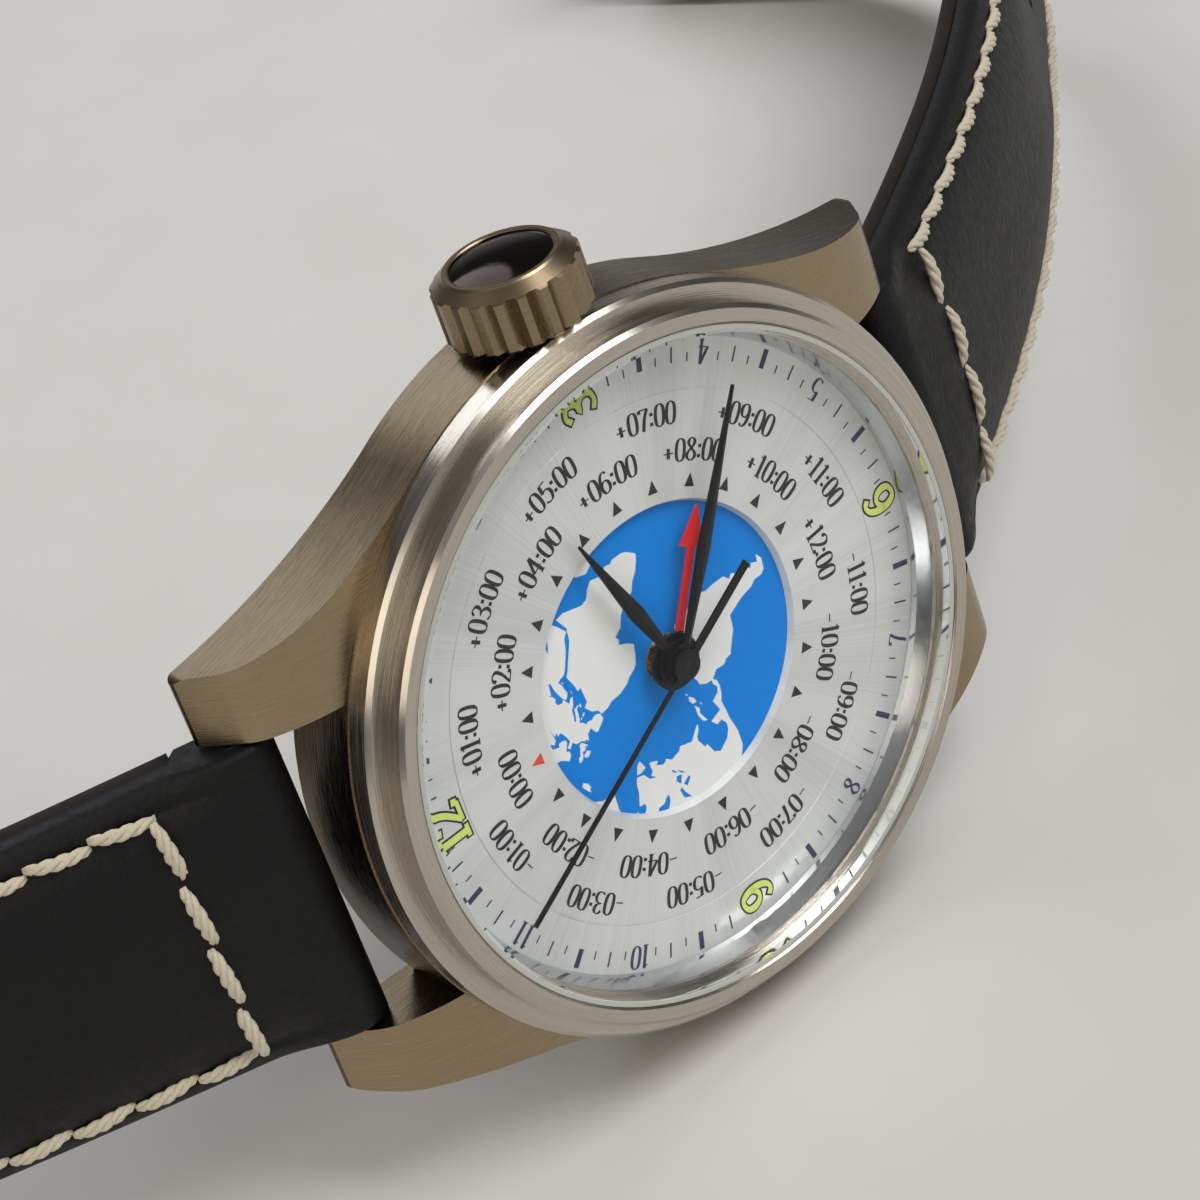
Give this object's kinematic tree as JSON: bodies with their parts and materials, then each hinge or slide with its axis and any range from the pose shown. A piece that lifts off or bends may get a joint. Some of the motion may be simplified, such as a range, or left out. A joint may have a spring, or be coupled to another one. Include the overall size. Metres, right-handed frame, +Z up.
{
  "type": "world time wristwatch",
  "caption": "Round steel wristwatch with a crown, world map dial, hour, minute, seconds and 24 hour hands, a full automatic movement and a two-part padded leather strap with pin buckle.",
  "frame": {"origin": "centre of the bounding box's bottom, on the surface that the watch lies on, on its 9 o'clock side", "axes": "+Z up, from 9 o'clock to 3 o'clock and the crown, leaning 9.8 degrees; -Y out of the dial; -X to 12 o'clock"},
  "size_m": [0.1508, 0.096, 0.0486],
  "materials": {
    "case_steel": "brushed",
    "spring_steel": "polished",
    "crystal_glass": "polished",
    "gasket_rubber": "matte",
    "silver_dial": "silvered and sunray brushed",
    "blue_map": "lacquered",
    "ring_plastic": "matte",
    "plated_brass": "rhodium plated",
    "weight_metal": "satin",
    "wheel_brass": "satin",
    "jewel_ruby": "polished",
    "black_hand": "black lacquer",
    "red_hand": "red lacquer",
    "black_leather": "matte calf",
    "lining_leather": "matte"
  },
  "bodies": {
    "case": {"case_middle": "case_steel", "bezel": "case_steel", "crystal": "crystal_glass", "crystal_gasket": "gasket_rubber", "inner_flange": "silver_dial", "dial_plate": "silver_dial", "map_disc": "blue_map", "movement_ring": "ring_plastic", "casing_clamps": "spring_steel", "movement_screws": "spring_steel", "case_back_ring": "case_steel", "case_back_glass": "crystal_glass", "case_back_gasket": "gasket_rubber", "crown_tube": "case_steel", "main_plate": "plated_brass", "train_bridge": "plated_brass", "balance_cock": "plated_brass", "jewels": "jewel_ruby", "automatic_bridge": "plated_brass", "rotor_bearing": "spring_steel", "spring_bar_12": "spring_steel", "spring_bar_6": "spring_steel"},
    "winding": {"winding_pinion": "spring_steel", "sliding_pinion": "spring_steel"},
    "crown": {"crown": "case_steel", "crown_gasket": "gasket_rubber", "winding_stem": "spring_steel"},
    "crown_wheel": {"crown_wheel": "spring_steel"},
    "ratchet": {"ratchet_wheel": "spring_steel", "barrel_arbor": "spring_steel"},
    "barrel": {"barrel": "wheel_brass"},
    "minute": {"centre_wheel": "wheel_brass", "cannon_pinion": "spring_steel", "minute_hand": "black_hand"},
    "third": {"third_wheel": "wheel_brass"},
    "seconds": {"fourth_wheel": "wheel_brass", "seconds_hand": "black_hand"},
    "escape": {"escape_wheel": "spring_steel"},
    "pallet": {"pallet_fork": "spring_steel"},
    "balance": {"balance_wheel": "wheel_brass", "hairspring": "spring_steel"},
    "minute_wheel": {"minute_wheel": "wheel_brass"},
    "hour": {"hour_wheel": "wheel_brass", "hour_hand": "black_hand"},
    "transfer": {"transfer_wheel": "wheel_brass"},
    "gmt": {"gmt_wheel": "wheel_brass", "gmt_hand": "red_hand"},
    "rotor": {"rotor_plate": "plated_brass", "rotor_weight": "weight_metal"},
    "tip_12": {"spring_bar_12_tip": "spring_steel"},
    "tip_6": {"spring_bar_6_tip": "spring_steel"},
    "strap_12": {"strap_12_upper": "black_leather", "strap_12_lining": "lining_leather", "fixed_keeper": "black_leather"},
    "strap_6": {"strap_6_upper": "black_leather", "strap_6_lining": "lining_leather"},
    "sliding_keeper": {"sliding_keeper": "black_leather"},
    "buckle": {"buckle_frame": "case_steel", "buckle_bar": "spring_steel"},
    "tongue": {"buckle_tongue": "case_steel"}
  },
  "joints": [
    {"name": "crown_turn", "type": "hinge", "parent": "case", "child": "winding", "pos_m": [-0.01066, -0.03967, 0.02244], "axis": [0, 0.1633, 0.9866], "continuous": true},
    {"name": "crown_pull", "type": "slide", "parent": "winding", "child": "crown", "axis": [0, 0.1633, 0.9866], "range_m": [0, 0.0012]},
    {"name": "crown_wheel_turn", "type": "hinge", "parent": "case", "child": "crown_wheel", "pos_m": [-0.01066, -0.04057, 0.02927], "axis": [0, 0.9866, -0.1633], "continuous": true},
    {"name": "ratchet_turn", "type": "hinge", "parent": "case", "child": "ratchet", "pos_m": [-0.01708, -0.04146, 0.02388], "axis": [0, 0.9866, -0.1633], "continuous": true},
    {"name": "seconds_turn", "type": "hinge", "parent": "case", "child": "seconds", "pos_m": [-0.01066, -0.04164, 0.02276], "axis": [0, 0.9866, -0.1633], "continuous": true},
    {"name": "minute_turn", "type": "hinge", "parent": "case", "child": "minute", "pos_m": [-0.01066, -0.04164, 0.02276], "axis": [0, 0.9866, -0.1633], "continuous": true},
    {"name": "hour_turn", "type": "hinge", "parent": "case", "child": "hour", "pos_m": [-0.01066, -0.04164, 0.02276], "axis": [0, 0.9866, -0.1633], "continuous": true},
    {"name": "gmt_turn", "type": "hinge", "parent": "case", "child": "gmt", "pos_m": [-0.01066, -0.04164, 0.02276], "axis": [0, 0.9866, -0.1633], "continuous": true},
    {"name": "third_turn", "type": "hinge", "parent": "case", "child": "third", "pos_m": [-0.00733, -0.0411, 0.02604], "axis": [0, 0.9866, -0.1633], "continuous": true},
    {"name": "barrel_turn", "type": "hinge", "parent": "case", "child": "barrel", "pos_m": [-0.01708, -0.04146, 0.02388], "axis": [0, 0.9866, -0.1633], "continuous": true},
    {"name": "escape_turn", "type": "hinge", "parent": "case", "child": "escape", "pos_m": [-0.00905, -0.04237, 0.01841], "axis": [0, 0.9866, -0.1633], "continuous": true},
    {"name": "minute_wheel_turn", "type": "hinge", "parent": "case", "child": "minute_wheel", "pos_m": [-0.01291, -0.04143, 0.02405], "axis": [0, 0.9866, -0.1633], "continuous": true},
    {"name": "transfer_turn", "type": "hinge", "parent": "case", "child": "transfer", "pos_m": [-0.01066, -0.04232, 0.01866], "axis": [0, 0.9866, -0.1633], "continuous": true},
    {"name": "pallet_swing", "type": "hinge", "parent": "case", "child": "pallet", "pos_m": [-0.00622, -0.04241, 0.01814], "axis": [0, 0.9866, -0.1633], "range_deg": [-5, 5]},
    {"name": "balance_swing", "type": "hinge", "parent": "case", "child": "balance", "pos_m": [-0.00361, -0.04245, 0.0179], "axis": [0, 0.9866, -0.1633], "range_deg": [-270, 270], "stiffness_Nm_per_rad": 0.0000004},
    {"name": "rotor_swing", "type": "hinge", "parent": "case", "child": "rotor", "pos_m": [-0.01066, -0.04164, 0.02276], "axis": [0, 0.9866, -0.1633], "continuous": true},
    {"name": "tip_12_press", "type": "slide", "parent": "case", "child": "tip_12", "axis": [0, -0.1633, -0.9866], "range_m": [0, 0.0009], "stiffness_N_per_m": 1000},
    {"name": "tip_6_press", "type": "slide", "parent": "case", "child": "tip_6", "axis": [0, -0.1633, -0.9866], "range_m": [0, 0.0009], "stiffness_N_per_m": 1000},
    {"name": "strap_12_swing", "type": "hinge", "parent": "case", "child": "strap_12", "pos_m": [-0.03506, -0.03711, 0.02201], "axis": [0, 0.1633, 0.9866], "range_deg": [-15, 40]},
    {"name": "strap_6_swing", "type": "hinge", "parent": "case", "child": "strap_6", "pos_m": [0.01374, -0.03711, 0.02201], "axis": [0, -0.1633, -0.9866], "range_deg": [-15, 40]},
    {"name": "keeper_slide", "type": "slide", "parent": "strap_12", "child": "sliding_keeper", "axis": [0.0349, 0.986, -0.1632], "range_m": [-0.005, 0.005]},
    {"name": "buckle_swing", "type": "hinge", "parent": "strap_12", "child": "buckle", "pos_m": [-0.0695, 0.01477, 0.01342], "axis": [0, 0.1633, 0.9866], "range_deg": [-35, 35]},
    {"name": "tongue_swing", "type": "hinge", "parent": "buckle", "child": "tongue", "pos_m": [-0.0695, 0.01477, 0.01342], "axis": [0, 0.1633, 0.9866], "range_deg": [0, 75]}
  ],
  "couplings": [
    {"joint": "crown_wheel_turn", "follows": "crown_turn", "ratio": -0.57143},
    {"joint": "ratchet_turn", "follows": "crown_turn", "ratio": 0.3871},
    {"joint": "third_turn", "follows": "seconds_turn", "ratio": -0.13333},
    {"joint": "minute_turn", "follows": "seconds_turn", "ratio": 0.016667},
    {"joint": "escape_turn", "follows": "seconds_turn", "ratio": -12},
    {"joint": "barrel_turn", "follows": "seconds_turn", "ratio": -0.0025641},
    {"joint": "minute_wheel_turn", "follows": "seconds_turn", "ratio": -0.0055556},
    {"joint": "hour_turn", "follows": "seconds_turn", "ratio": 0.0013889},
    {"joint": "transfer_turn", "follows": "seconds_turn", "ratio": -0.0013889},
    {"joint": "gmt_turn", "follows": "seconds_turn", "ratio": 0.00069444}
  ]
}
